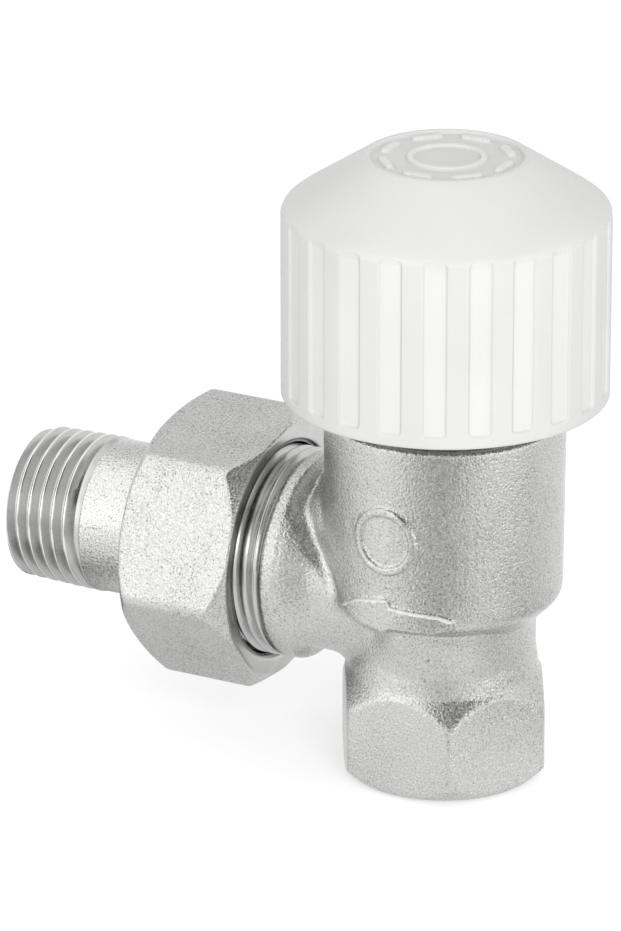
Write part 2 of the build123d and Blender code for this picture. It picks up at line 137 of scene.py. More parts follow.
def mouldedPlastic(name, shade, rough, haze=0.04):
    # glossy injection moulding: faint waviness and a hair of mottling
    mat, tree, bsdf = newFinish(name)
    co = objectCoords(tree)
    wave = noiseNode(tree, co, 90, 2.0, 0.5)
    skin = noiseNode(tree, co, 3200, 2.0, 0.5)
    lo = tuple(c * (1 - haze) for c in shade)
    tree.links.new(rampNode(tree, wave, [(0.3, lo), (0.7, shade)]), bsdf.inputs["Base Color"])
    gloss = rampNode(tree, skin, [(0.3, rough * 0.85), (0.7, rough * 1.2)])
    tree.links.new(gloss, bsdf.inputs["Roughness"])
    n = bumpNode(tree, wave, 0.05, 0.0003)
    n = bumpNode(tree, skin, 0.06, 0.00002, n)
    tree.links.new(n, bsdf.inputs["Normal"])
    bsdf.inputs["IOR"].default_value = 1.5
    bsdf.inputs["Subsurface Weight"].default_value = 0.08
    bsdf.inputs["Subsurface Radius"].default_value = (0.0012, 0.0011, 0.001)
    bsdf.inputs["Subsurface Scale"].default_value = 1.0
    return mat


def rubberFinish(name):
    mat, tree, bsdf = newFinish(name)
    co = objectCoords(tree)
    grain = noiseNode(tree, co, 2200, 3.0, 0.6)
    tree.links.new(rampNode(tree, grain, [(0.3, 0.012), (0.7, 0.03)]), bsdf.inputs["Base Color"])
    tree.links.new(rampNode(tree, grain, [(0.3, 0.5), (0.7, 0.72)]), bsdf.inputs["Roughness"])
    tree.links.new(bumpNode(tree, grain, 0.2, 0.00003), bsdf.inputs["Normal"])
    return mat


forgedPlate = blastedNickel("forged_plate")
nutPlate = blastedNickel("nut_plate", speck=0.34)
tubePlate = blastedNickel("tube_plate", shade=0.56, grain=0.35, speck=0.36)
turnedPlate = turnedMetal("turned_plate", (0.56, 0.56, 0.555), 0.22)
turnedBrass = turnedMetal("turned_brass", (0.80, 0.62, 0.30), 0.26, axis="Z")
drawnSteel = turnedMetal("drawn_steel", (0.62, 0.62, 0.63), 0.24, axis="Z")
threadCut = turnedMetal("thread_cut", (0.57, 0.57, 0.565), 0.28)
# lighter, smoother copy of the thread finish for the crests: the smoothness a finish, the lighter tone a
# painted highlight
threadCrestHighlight = turnedMetal("thread_crest_highlight", (0.80, 0.80, 0.79), 0.20)
# lighter, part-metallic finish for the arrow's upper edge: a painted highlight
arrowEdgeHighlight = turnedMetal("arrow_edge_highlight", (0.62, 0.62, 0.61), 0.4, metal=0.3)
capPlastic = mouldedPlastic("cap_plastic", (0.49, 0.49, 0.48), 0.42)
# lighter, smoother copy of the cap plastic for the flute flats and raised marks: the smoothness a finish, the
# lighter tone a painted highlight
pocketHighlightPlastic = mouldedPlastic("cap_pocket_highlight", (0.53, 0.53, 0.52), 0.34)
# slightly darker, rougher copy for the disc's recess floor: the roughness a finish, the darker tone painted
# shade
recessPlastic = mouldedPlastic("cap_recess", (0.48, 0.48, 0.47), 0.55)
sealRubber = rubberFinish("seal_rubber")
print("finishes ready")


# mesh helpers, in millimetres
def smoothStep(x):
    x = np.clip(x, 0, 1)
    return x * x * (3 - 2 * x)


def addMesh(name, verts, faces, mat, body, angle=30):
    weld = 0.002  # points closer than this become one
    mesh = bpy.data.meshes.new(name)
    mesh.from_pydata([tuple(v) for v in np.asarray(verts) * mm], [], faces)
    bm = bmesh.new()
    bm.from_mesh(mesh)
    bmesh.ops.remove_doubles(bm, verts=bm.verts, dist=weld * mm)
    bmesh.ops.dissolve_degenerate(bm, edges=bm.edges, dist=1e-7)
    bmesh.ops.recalc_face_normals(bm, faces=bm.faces)
    bm.to_mesh(mesh)
    bm.free()
    mesh.materials.append(mat)
    mesh.shade_smooth()
    mesh.set_sharp_from_angle(angle=math.radians(angle))
    obj = bpy.data.objects.new(name, mesh)
    bpy.context.scene.collection.objects.link(obj)
    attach(obj, body)
    return obj


def rowsToMesh(rows, angles, place):
    # rows of (station, radius) over the angles become one closed skin; place turns them into points
    verts, faces = [], []
    cols = len(angles)
    for s, r in rows:
        s = np.broadcast_to(s, cols)
        r = np.broadcast_to(r, cols)
        verts.extend(place(s, r, angles))
    count = len(rows)
    for j in range(count):
        a, b = j * cols, ((j + 1) % count) * cols
        for i in range(cols - 1):
            faces.append((a + i, a + i + 1, b + i + 1, b + i))
    return verts, faces


armZ = 26.0  # height of the arm's axis


def alongArm(s, r, t):
    return np.stack([-s, r * np.sin(t), armZ + r * np.cos(t)], -1)


def upright(s, r, t):
    return np.stack([r * np.cos(t), r * np.sin(t), s], -1)


def softCorners(points, radius, steps=4):
    # rounds each corner of an open profile with a short curve
    out = [points[0]]
    for i in range(1, len(points) - 1):
        p0, p1, p2 = (np.array(points[k], float) for k in (i - 1, i, i + 1))
        l0, l2 = np.linalg.norm(p0 - p1), np.linalg.norm(p2 - p1)
        cut = min(radius, 0.45 * l0, 0.45 * l2)
        a, b = p1 + (p0 - p1) / l0 * cut, p1 + (p2 - p1) / l2 * cut
        for k in range(steps + 1):
            f = k / steps
            out.append(tuple((1 - f) ** 2 * a + 2 * f * (1 - f) * p1 + f * f * b))
    out.append(points[-1])
    return out


def threadRows(start, end, pitch, crest, root, angles, flat=0.14):
    # one continuous helical ridge from start to end; crest and root are functions of the station
    shape = [(0.0, 0.0), (0.06, 0.0), (0.5 - flat / 2 - 0.03, 0.93), (0.5 - flat / 2 + 0.03, 1.0),
             (0.5 + flat / 2 - 0.03, 1.0), (0.5 + flat / 2 + 0.03, 0.93), (0.94, 0.0), (1.0, 0.0)]
    turns = int((end - start) / pitch) + 2
    lead = angles / (2 * math.pi)
    at, high = zip(*shape)
    first, last = (np.interp((e - lead) % 1, at, high) for e in (0, (end - start) / pitch))
    rows = []
    for k in range(-1, turns):
        for t, d in shape[:-1]:
            turn = k + t + lead
            s = np.clip(start + turn * pitch, start, end)
            h = np.where(turn < 0, first, np.where(turn * pitch > end - start, last, d))
            rows.append((s, root(s) + (crest(s) - root(s)) * h))
    return rows


def fullTurn(count):
    return np.linspace(0, 2 * math.pi, count + 1)


# cap
cap = {
    "radius": 21.345, "bottom": 52.35, "rimZ": 77.5, "shoulder": (19.95, 78.6), "discR": 10.6, "top": 84.7,
    "flutes": 23, "phase": 11.4, "fluteLow": 53.95, "fluteHigh": 77.6, "fluteDepth": 0.40,
    "fluteCorner": 0.7, "fluteEdge": 0.45, "fluteFade": 1.5, "fadeFrom": 0.3,
    "wall": 1.9, "sleeveIn": 15.3, "sleeveOut": 17.3, "sleeveLow": 52.9, "bossR": 4.0, "bossLow": 64.45,
    "ceiling": (8.7, 81.66), "underShoulder": (18.05, 76.7), "wallTop": 75.5,
    "ribs": 6, "ribT": 1.4, "ribUp": 4.0, "recess": 0.5, "rimW": 0.7, "recessR": 9.65,
    "markH": 0.4, "marks": 8, "markR": 8.2, "markSize": (4.2, 1.2), "markEdge": 0.25, "ringR": (4.3, 5.2),
}


def capAngles():
    # columns crowd round the flute edges so that they stay crisp
    half = 180 / cap["flutes"] / 2
    near = [-0.75, -0.5, -0.3, -0.15, 0, 0.15, 0.3, 0.5, 0.75]
    local = sorted([-2 * half, -half - 1.6, -half * 0.5, 0, half * 0.5, half + 1.6]
                   + [-half + n for n in near] + [half + n for n in near])
    deg = [cap["phase"] + i * 360 / cap["flutes"] + a for i in range(cap["flutes"]) for a in local]
    return np.radians(np.array(deg + [deg[0] + 360]))


def fluteCut(angles, z, r):
    # depth of the round-cornered flats in the wall, which fade out under the shoulder
    pitch = 2 * math.pi / cap["flutes"]
    a = (angles - math.radians(cap["phase"]) + pitch / 2) % pitch - pitch / 2
    w = np.abs(a) * cap["radius"]
    hw = math.pi * cap["radius"] / cap["flutes"] / 2
    mid, hh = (cap["fluteLow"] + cap["fluteHigh"]) / 2, (cap["fluteHigh"] - cap["fluteLow"]) / 2
    rc = cap["fluteCorner"]
    qx, qz = w - hw + rc, np.abs(z - mid) - hh + rc
    sd = np.hypot(np.maximum(qx, 0), np.maximum(qz, 0)) + np.minimum(np.maximum(qx, qz), 0) - rc
    flat = np.maximum(r - (cap["radius"] - cap["fluteDepth"]) / np.cos(np.clip(a, -0.12, 0.12)), 0)
    fade = smoothStep((cap["fluteHigh"] - z) / cap["fluteFade"] + cap["fadeFrom"])
    return flat * smoothStep(0.5 - sd / cap["fluteEdge"]) * fade


def discMarks(angles, r):
    # a raised ring and round-ended bars on the top disc
    ringIn, ringOut = cap["ringR"]
    edge = cap["markEdge"]
    ring = smoothStep(0.5 - (abs(r - (ringIn + ringOut) / 2) - (ringOut - ringIn) / 2) / edge)
    step = 2 * math.pi / cap["marks"]
    a = (angles + step / 2) % step - step / 2
    length, width = cap["markSize"]
    along = np.maximum(np.abs(r * np.sin(a)) - (length - width) / 2, 0)
    bar = smoothStep(0.5 - (np.hypot(along, r * np.cos(a) - cap["markR"]) - width / 2) / edge)
    return cap["markH"] * np.maximum(ring, bar)


def buildCap():
    t = capAngles()
    outR, low, top = cap["radius"], cap["bottom"], cap["top"]
    inR, discR = outR - cap["wall"], cap["discR"]
    rows = []
    wallZ = list(np.arange(low + 0.5, cap["fluteLow"] - 0.5, 0.3))
    wallZ += list(np.arange(cap["fluteLow"] - 0.45, cap["fluteLow"] + 1.0, 0.12))
    wallZ += list(np.linspace(cap["fluteLow"] + 1.2, cap["fluteHigh"] - 1.2, 14))
    wallZ += list(np.arange(cap["fluteHigh"] - 1.0, cap["fluteHigh"] - 0.55, 0.12))
    # foot rim, then the wall, the shoulder, the cone and the disc
    foot = softCorners([(inR, low), (outR, low), (outR, low + 1.2)], 0.5, 5)
    rows += [(z, np.full_like(t, r)) for r, z in foot[:-1]]
    rows += [(z, outR - fluteCut(t, z, outR)) for z in wallZ]
    crown = [(outR, cap["fluteHigh"] - 2.2), (outR, cap["rimZ"]), cap["shoulder"], (discR, top)]
    crown = softCorners(crown, 2.3, 14)
    for r, z in crown[1:-1]:
        if z > wallZ[-1] and r > discR + 0.8:
            rows.append((z, r - fluteCut(t, z, r)))
    shoulderR, shoulderZ = cap["shoulder"]
    slope = (top - shoulderZ) / (shoulderR - discR)
    recessZ = top - cap["recess"]
    rim = softCorners([(discR + 1.1, top - 1.1 * slope), (discR, top), (discR - cap["rimW"], top),
                       (cap["recessR"], recessZ), (cap["recessR"] - 0.2, recessZ)], 0.35, 4)
    rows += [(z, np.full_like(t, r)) for r, z in rim]
    for r in np.concatenate([np.arange(cap["recessR"] - 0.3, 3.5, -0.12), np.arange(3.2, 0.0, -0.4)]):
        rows.append((recessZ + discMarks(t, r), np.full_like(t, r)))
    rows.append((recessZ, np.full_like(t, 0.0)))
    ceilR, ceilZ = cap["ceiling"]
    underR, underZ = cap["underShoulder"]

    def coneZ(r):
        return ceilZ + (underZ - ceilZ) * (r - ceilR) / (underR - ceilR)

    inner = [(0, cap["bossLow"]), (cap["bossR"], cap["bossLow"]), (cap["bossR"], ceilZ), (ceilR, ceilZ),
             (cap["sleeveIn"], coneZ(cap["sleeveIn"])), (cap["sleeveIn"], cap["sleeveLow"]),
             (cap["sleeveOut"], cap["sleeveLow"]), (cap["sleeveOut"], coneZ(cap["sleeveOut"])),
             (underR, underZ), (inR, cap["wallTop"]), (inR, low + 0.3), (inR, low)]
    inner = softCorners(inner, 0.35, 3)
    rows += [(z, np.full_like(t, r)) for r, z in inner]
    verts, faces = rowsToMesh(rows, t, upright)
    obj = addMesh("cap_shell", verts, faces, capPlastic, "cap", angle=50)
    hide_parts("handwheel")
    obj.data.materials.append(pocketHighlightPlastic)
    obj.data.materials.append(recessPlastic)
    for p in obj.data.polygons:
        x, y, z = p.center / mm
        r = math.hypot(x, y)
        # flute flats and raised marks take the lighter copy, a painted highlight; the recess floor the darker
        # one, painted shade
        if cap["fluteLow"] + 0.1 < z < cap["fluteHigh"] - 0.3 and outR - 0.55 < r < outR - 0.25:
            p.material_index = 1
        if r < cap["recessR"] + 0.1 and z > ceilZ + 1:
            p.material_index = 1 if z > recessZ + 0.25 else 2
    # stiffening ribs between sleeve and wall
    ribV, ribF = [], []
    r0, r1, h = cap["sleeveOut"] - 0.3, inR + 0.3, cap["ribT"] / 2
    z0, z1 = cap["sleeveLow"] + cap["ribUp"], underZ - 0.1
    for i in range(cap["ribs"]):
        a = math.radians(i * 360 / cap["ribs"])
        c, s = math.cos(a), math.sin(a)
        base = len(ribV)
        for z in (z0, z1):
            for x, y in ((r0, -h), (r1, -h), (r1, h), (r0, h)):
                ribV.append((x * c - y * s, x * s + y * c, z))
        sides = [(k, (k + 1) % 4, 4 + (k + 1) % 4, 4 + k) for k in range(4)]
        ribF += [tuple(base + k for k in f) for f in [(0, 3, 2, 1), (4, 5, 6, 7)] + sides]
    addMesh("cap_ribs", ribV, ribF, capPlastic, "cap")


buildCap()
print("cap built")

# tailpiece
tail = {
    "end": 60.8, "bore": 6.8, "tube": 10.3, "crest": 10.4775, "root": 9.35, "pitch": 1.814, "thread": 11.6,
    "faceR": 9.83, "collarR": 12.3, "collarFront": 31.2, "collarBack": 34.5, "noseFront": 27.5, "noseR": 9.0,
    "groove": (28.65, 30.05), "grooveR": 7.9, "lugH": 1.2, "lugW": 3.0,
    "taper": 32, "taperFrom": 3, "runOut": 2.2, "crestBand": 0.16, "dullRunOut": 1.6,
}


def buildTail():
    t = fullTurn(180)
    ones = np.ones_like(t)
    e = tail["end"]
    inner = e - tail["thread"]

    def crest(s):
        # the thread tapers towards its end, where a chamfer trims the first turn
        taper = tail["crest"] - np.clip(s - inner - tail["taperFrom"], 0, None) / tail["taper"]
        return np.minimum(taper, tail["faceR"] + e - s)

    def root(s):
        runOut = smoothStep((inner + tail["runOut"] - s) / tail["runOut"])
        r = tail["root"] - np.clip(s - inner - tail["taperFrom"], 0, None) / tail["taper"]
        r = r + (tail["tube"] - r) * runOut
        return np.minimum(r, tail["faceR"] + e - s)

    thread = threadRows(inner, e, tail["pitch"], crest, root, t)[::-1]
    rows = [(e * ones, tail["bore"] * ones + 0.35), (e * ones, 9.0 * ones)]
    rows += thread
    # tube, collar, nose with its seal groove, and back into the bore
    g0, g1 = tail["groove"]
    c0, c1, nose = tail["collarFront"], tail["collarBack"], tail["noseFront"]
    outer = [(inner, tail["tube"]), (c1 + 0.2, tail["tube"]), (c1, tail["collarR"]), (c0, tail["collarR"]),
             (c0, tail["noseR"]), (g1, tail["noseR"]), (g1, tail["grooveR"]), (g0, tail["grooveR"]),
             (g0, tail["noseR"]), (nose, tail["noseR"]), (nose, tail["bore"]), (nose + 1, tail["bore"])]
    rows += [(s * ones, r * ones) for s, r in softCorners(outer, 0.25, 3)]
    rows += [(s * ones, tail["bore"] * ones) for s in np.linspace(nose + 2, e - 0.5, 12)]
    verts, faces = rowsToMesh(rows, t, alongArm)
    obj = addMesh("tail_tube", verts, faces, tubePlate, "tail", angle=24)
    for mat in (turnedPlate, threadCut, threadCrestHighlight):
        obj.data.materials.append(mat)
    for p in obj.data.polygons:
        x, y, z = p.center / mm
        r = math.hypot(y, z - armZ)
        if inner - 0.1 < -x < e - 0.05 and r > tail["bore"] + 0.5:
            # crest faces past the run-out take the lighter crest finish: a painted highlight
            bright = r > crest(-x) - tail["crestBand"] and -x > inner + tail["dullRunOut"]
            p.material_index = 3 if bright else 2
        elif r < tail["noseR"] + 0.1 or -x < c1 + 0.1 or -x > e - 0.05:
            p.material_index = 1
    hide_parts("tailpiece")
    # two lugs in the bore for the key that turns the tailpiece
    lugV, lugF = [], []
    x0, x1 = c1 + 4, e - 2
    halfLug = [(tail["bore"] + 0.2, 0.5), (tail["bore"] - tail["lugH"] * 0.7, 0.5),
               (tail["bore"] - tail["lugH"], 0.35)]
    for side in (-1, 1):
        base = len(lugV)
        for x in (x0, x1):
            lugV += [(-x, side * y, armZ - tail["lugW"] * w) for y, w in halfLug]
            lugV += [(-x, side * y, armZ + tail["lugW"] * w) for y, w in reversed(halfLug)]
        ring = list(range(6))
        lugF += [tuple(base + i for i in ring), tuple(base + 6 + i for i in reversed(ring))]
        lugF += [(base + i, base + (i + 1) % 6, base + 6 + (i + 1) % 6, base + 6 + i) for i in ring]
    addMesh("tail_lugs", lugV, lugF, turnedPlate, "tail")


buildTail()
print("tailpiece built")


# remeshed forgings: the solid's own shape with its edges softened
mostTriangles = 170000


def softForging(name, node, voxel, rounds, keep, mat, body, prepare=None, forge=None):
    mesh = nodes[node].data.copy()
    mesh.name = name
    solid = np.zeros(len(mesh.vertices) * 3)
    mesh.vertices.foreach_get("co", solid)
    low, high = solid.reshape(-1, 3).min(0), solid.reshape(-1, 3).max(0)
    bm = bmesh.new()
    bm.from_mesh(mesh)
    bmesh.ops.remove_doubles(bm, verts=bm.verts, dist=1e-6)
    if prepare:
        prepare(bm)
    bm.to_mesh(mesh)
    bm.free()
    obj = bpy.data.objects.new(name, mesh)
    bpy.context.scene.collection.objects.link(obj)
    grid = obj.modifiers.new("grid", "REMESH")
    grid.mode = "VOXEL"
    grid.voxel_size = voxel * mm
    deps = bpy.context.evaluated_depsgraph_get()
    fine = bpy.data.meshes.new_from_object(obj.evaluated_get(deps))
    obj.modifiers.remove(grid)
    obj.data = fine
    co = np.zeros(len(fine.vertices) * 3)
    fine.vertices.foreach_get("co", co)
    if forge:
        out = np.zeros(len(co), np.float32)
        fine.vertex_normals.foreach_get("vector", out)
        co = forge(co.reshape(-1, 3) / mm, out.reshape(-1, 3)).ravel() * mm
        fine.vertices.foreach_set("co", co)
    for i, (weight, times) in enumerate(zip(keep(co.reshape(-1, 3) / mm), rounds)):
        group = obj.vertex_groups.new(name="soft%d" % i)
        for level in range(1, 11):
            ids = np.nonzero(np.round(weight * 10).astype(int) == level)[0]
            if len(ids):
                group.add(ids.tolist(), level / 10, "REPLACE")
        smooth = obj.modifiers.new(group.name, "SMOOTH")
        smooth.factor = 0.5
        smooth.iterations = times
        smooth.vertex_group = group.name
    thin = obj.modifiers.new("thin", "DECIMATE")
    thin.ratio = min(1.0, mostTriangles / (2 * len(fine.polygons)))
    deps = bpy.context.evaluated_depsgraph_get()
    done = bpy.data.meshes.new_from_object(obj.evaluated_get(deps))
    obj.modifiers.clear()
    obj.vertex_groups.clear()
    obj.data = done
    done.name = name
    co = np.zeros(len(done.vertices) * 3)
    done.vertices.foreach_get("co", co)
    inside = np.clip(co.reshape(-1, 3), low, high)  # stays inside the solid's box
    done.vertices.foreach_set("co", inside.ravel())
    done.materials.clear()
    done.materials.append(mat)
    done.shade_smooth()
    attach(obj, body)
    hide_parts(node)
    print(name, "faces:", len(done.polygons))
    return obj


# valve body
body = {
    "voxel": 0.20, "rounds": (12, 30), "cutX": 20.3, "socketR": 9.316, "threadOut": 10.45, "socketDeep": 13.4,
    "mouthR": 10.9, "sleeveR": 11.6, "socketWall": (9.2, 9.95), "threadRoom": 1.35, "pitch": 1.814,
    "unionR": 14.0, "unionRoot": 13.08, "unionPitch": 1.5, "unionStart": 20.0, "unionEnd": 31.0,
    "endR": 13.0, "spigotR": 12.6, "reliefR": 13.3, "nestR": 9.3, "nestDeep": 4.0, "waterR": 6.5,
    "arrowX": 8.5, "arrowZ": (25.6, 29.4), "arrowR": 15.87,
}


def prepareBody(bm):
    # the union spigot and the socket's thread are turned pieces of their own
    cut = (-body["cutX"] * mm, 0, 0)
    geom = list(bm.verts) + list(bm.edges) + list(bm.faces)
    got = bmesh.ops.bisect_plane(bm, geom=geom, dist=1e-7, plane_co=cut, plane_no=(-1, 0, 0),
                                 clear_outer=True)
    rim = [e for e in got["geom_cut"] if isinstance(e, bmesh.types.BMEdge)]
    bmesh.ops.holes_fill(bm, edges=rim, sides=0)
    wallIn, wallOut = body["socketWall"]
    for v in bm.verts:
        r = math.hypot(v.co.x, v.co.y) / mm
        if wallIn < r < wallOut and v.co.z / mm < body["socketDeep"] + 0.05:
            v.co.x *= (r + body["threadRoom"]) / r
            v.co.y *= (r + body["threadRoom"]) / r


# forms of the forging beyond the solid: the fold where the arm leaves the barrel, by points on the near side
# and how far each stands proud, then the swells of the arm and the neck
fold = {
    "ridge": [(-16.2, -4.6, 37.8, 0.0), (-15.0, -7.1, 36.4, 0.6), (-13.2, -9.2, 34.5, 0.7),
              (-11.0, -11.1, 33.4, 0.5), (-9.7, -12.3, 32.3, 0.3), (-8.3, -13.3, 29.8, 0.0)],
    "valley": [(-17.1, -6.9, 36.5, -0.2), (-15.7, -8.9, 34.0, -0.7), (-14.2, -10.1, 32.4, -0.95),
               (-13.1, -10.8, 31.3, -1.0), (-11.5, -11.5, 29.4, -0.8), (-10.0, -12.1, 27.2, -0.5),
               (-8.3, -13.2, 26.1, 0.0)],
    "swellFrom": 13.0, "swellTo": 18.3, "swellR": 13.75, "armR": 12.0,
    "neckR": 12.15, "neckSwell": 1.6, "neckFrom": 15.5, "neckTo": 23.8, "neckReach": (82, 52), "neckFade": 40,
    "ridgeSpread": 1.25, "valleySpread": 1.0, "skinR": 11.6,
    "rimLift": 0.22, "rimR": 14.9, "rimZ": (48.4, 49.8),
}


def alongLine(co, line, spread):
    # height that the nearest stretch of a line gives to each point
    best = np.full(len(co), 1e9)
    high = np.zeros(len(co))
    for a, b in zip(line, line[1:]):
        pa, pb = np.array(a[:3]), np.array(b[:3])
        f = np.clip((co - pa) @ (pb - pa) / ((pb - pa) @ (pb - pa)), 0, 1)
        d = np.linalg.norm(co - pa - f[:, None] * (pb - pa), axis=1)
        near = d < best
        best[near] = d[near]
        high[near] = (a[3] + (b[3] - a[3]) * f)[near]
    return high * np.exp(-(best / spread) ** 2)


def forgeBody(co, out):
    co = co.copy()
    s, r = -co[:, 0], np.hypot(co[:, 1], co[:, 2] - armZ)
    # the arm swells into its flange at the sides
    swell = fold["armR"] + (fold["swellR"] - fold["armR"]) * smoothStep(
        (s - fold["swellFrom"]) / (fold["swellTo"] - fold["swellFrom"]))
    side = smoothStep((np.abs(co[:, 1]) / np.maximum(r, 1) - 0.45) / 0.4)
    grow = side * np.clip(swell - r, 0, None)
    grow[(r < fold["skinR"]) | (s < fold["swellFrom"]) | (s > fold["swellTo"])] = 0
    co[:, 1] *= 1 + grow / np.maximum(r, 1)
    co[:, 2] = armZ + (co[:, 2] - armZ) * (1 + grow / np.maximum(r, 1))
    # the neck swells towards the barrel at its front and back
    x, y, z = co.T
    rad = np.hypot(x, y)
    reach = np.where(y < 0, *fold["neckReach"])
    off = np.degrees(np.arctan2(np.abs(x), np.abs(y)))
    facing = smoothStep((reach - off) / fold["neckFade"]) * smoothStep((x + 5) / 6)  # none of it at the arm
    z0, z1 = fold["neckFrom"], fold["neckTo"]
    neck = fold["neckR"] + fold["neckSwell"] * facing * smoothStep((z - z0) / (z1 - z0))
    grow = np.where((z > z0) & (z < z1) & (rad > fold["skinR"]), np.clip(neck - rad, 0, None), 0)
    co[:, :2] *= (1 + grow / np.maximum(rad, 1))[:, None]
    # the barrel's top edge stands a little higher, close under the cap
    rimLow, rimHigh = fold["rimZ"]
    rim = smoothStep((rad - fold["rimR"]) / 0.25) * smoothStep((z - rimLow) / 1.0) * (z < rimHigh)
    co[:, 2] += fold["rimLift"] * rim
    # the fold, the same on both sides
    near = np.nonzero((co[:, 0] < -5) & (co[:, 0] > -19.5) & (r > 8))[0]
    flip = co[near].copy()
    flip[:, 1] = -np.abs(flip[:, 1])
    lift = alongLine(flip, fold["ridge"], fold["ridgeSpread"])
    lift = lift + alongLine(flip, fold["valley"], fold["valleySpread"])
    co[near] += out[near] * lift[:, None]
    return co


def bodySoftness(co):
    # how much each point is smoothed, and how much more in a second pass
    x, y, z = co.T
    r = np.hypot(x, y)
    ra = np.hypot(y, z - armZ)
    w = np.ones(len(co))
    w[(r < 12.05) & (z > 0.6) & ((x > -12) | (ra < 9.5))] = 0.1  # bores
    w[z > 49.2] = 0.1  # shoulder and cap thread
    front = (y < -10) & (np.abs(x) < 10)
    w[front & (z > 30.5) & (z < 42.5)] = 0.3  # ring
    w[front & (z > 23.6) & (z < 30.5)] = 0.6  # arrow
    w[(z > 0.6) & (z < 16) & (r > 12.2) & (x > -12)] = 0.5  # hexagon
    # the arches over the hexagon's sides and the barrel's foot are rounder
    off = np.abs((np.degrees(np.arctan2(x, -y)) + 60) % 60 - 30)
    more = smoothStep((25 - off) / 8) * ((z > 9.5) & (z < 15.5) & (r > 12.2))
    more[(z > 23.0) & (z < 29) & (r > 12.6) & (x > -6) & ~(front & (z > 23.6))] = 1.0
    more[(x > -19) & (x < -6.5) & (z > 24) & (z < 39.5) & (np.abs(y) > 5)] = 0.7  # fold at the arm
    return w, more


def buildBody():
    forging = softForging("body_forging", "valve_body", body["voxel"], body["rounds"], bodySoftness,
                          forgedPlate, "valve", prepareBody, forgeBody)
    # the arrow's upward-facing upper edge takes a lighter finish: a painted highlight
    forging.data.materials.append(arrowEdgeHighlight)
    arrowLow, arrowHigh = body["arrowZ"]
    for p in forging.data.polygons:
        x, y, z = p.center / mm
        onArrow = y < -10 and abs(x) < body["arrowX"] and arrowLow < z < arrowHigh
        if onArrow and math.hypot(x, y) > body["arrowR"] and p.normal.z > 0.2:
            p.material_index = 1
    # union spigot with its thread, and the nest for the tailpiece's nose
    t = fullTurn(200)
    ones = np.ones_like(t)
    s0, s1 = body["unionStart"], body["unionEnd"]

    def crest(s):
        return np.minimum(body["unionR"] * np.ones_like(s), body["endR"] + (s1 - s))

    def root(s):
        return np.minimum(body["unionRoot"] * np.ones_like(s), body["endR"] + (s1 - s))

    nestZ, nestR = s1 - body["nestDeep"], body["nestR"]
    spigot = [(nestZ - 1, body["waterR"]), (nestZ - 1, body["spigotR"]), (s0 - 0.6, body["spigotR"]),
              (s0 - 0.6, body["reliefR"]), (s0 + 0.25, body["reliefR"]), (s0 + 0.45, body["unionRoot"])]
    nest = [(s1, 12.9), (s1, nestR + 0.5), (s1 - 0.5, nestR), (nestZ, nestR), (nestZ - 1, body["waterR"])]
    rows = [(s * ones, r * ones) for s, r in softCorners(spigot, 0.1, 2)]
    rows += threadRows(s0 + 0.5, s1, body["unionPitch"], crest, root, t)
    rows += [(s * ones, r * ones) for s, r in softCorners(nest, 0.2, 3)]
    verts, faces = rowsToMesh(rows, t, alongArm)
    addMesh("body_union_thread", verts, faces, turnedPlate, "valve", angle=24)
    # female pipe thread in the hexagon end
    deep, mouth = body["socketDeep"], body["mouthR"]

    def valley(s):
        return np.maximum(body["threadOut"], mouth - s)

    def ridge(s):
        return np.maximum(body["socketR"], mouth - s)

    rows = [(0.0 * ones, body["sleeveR"] * ones), (0.0 * ones, mouth * ones)]
    rows += threadRows(0.0, deep, body["pitch"], ridge, valley, t)
    rows += [(deep * ones, body["sleeveR"] * ones)]
    verts, faces = rowsToMesh(rows, t, upright)
    addMesh("body_socket_thread", verts, faces, turnedPlate, "valve", angle=24)


buildBody()
print("body built")

# union nut
nut = {"voxel": 0.20, "rounds": (8,), "front": 23.3, "boreR": 14.6, "turnedR": 15.2}


def nutSoftness(co):
    x, y, z = co.T
    ra = np.hypot(y, z - armZ)
    w = np.ones(len(co))
    w[ra < nut["boreR"]] = 0.1
    return (w,)


def buildNut():
    obj = softForging("nut_forging", "union_nut", nut["voxel"], nut["rounds"], nutSoftness, nutPlate,
                      "nut")
    obj.data.materials.append(turnedPlate)
    for p in obj.data.polygons:
        x, y, z = p.center / mm
        ra = math.hypot(y, z - armZ)
        if ra < nut["turnedR"] or (p.normal.x > 0.93 and -x < nut["front"] + 0.4):
            p.material_index = 1


buildNut()
print("nut built")

# inner pieces keep their solids and get a finish
innerFinish = {
    turnedBrass: ["insert_housing", "gland_nut", "valve_plug", "plug_nut", "plug_washer", "gland_washer"],
    drawnSteel: ["stem", "gland_pin", "stem_clip", "spring_plate"],
    sealRubber: ["tail_seal", "housing_seal", "gland_seal", "pin_seal", "disc_seal"],
}
for mat, names in innerFinish.items():
    for n in names:
        nodes[n].data.materials.clear()
        nodes[n].data.materials.append(mat)

# the return spring as a copy in drawn steel, in place of the original
coil = bpy.data.objects.new("spring_coil", nodes["return_spring"].data.copy())
bpy.context.scene.collection.objects.link(coil)
coil.data.materials.clear()
coil.data.materials.append(drawnSteel)
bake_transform(coil)
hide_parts("return_spring")
print("inner pieces finished")

# floor, light and camera
view = {
    "azimuth": 26.8, "elevation": 22.3, "distance": 879.18, "lookAz": 28.03, "lookEl": 21.33,
    "focal": 6712.96, "imageH": 931, "sensor": 36,
}
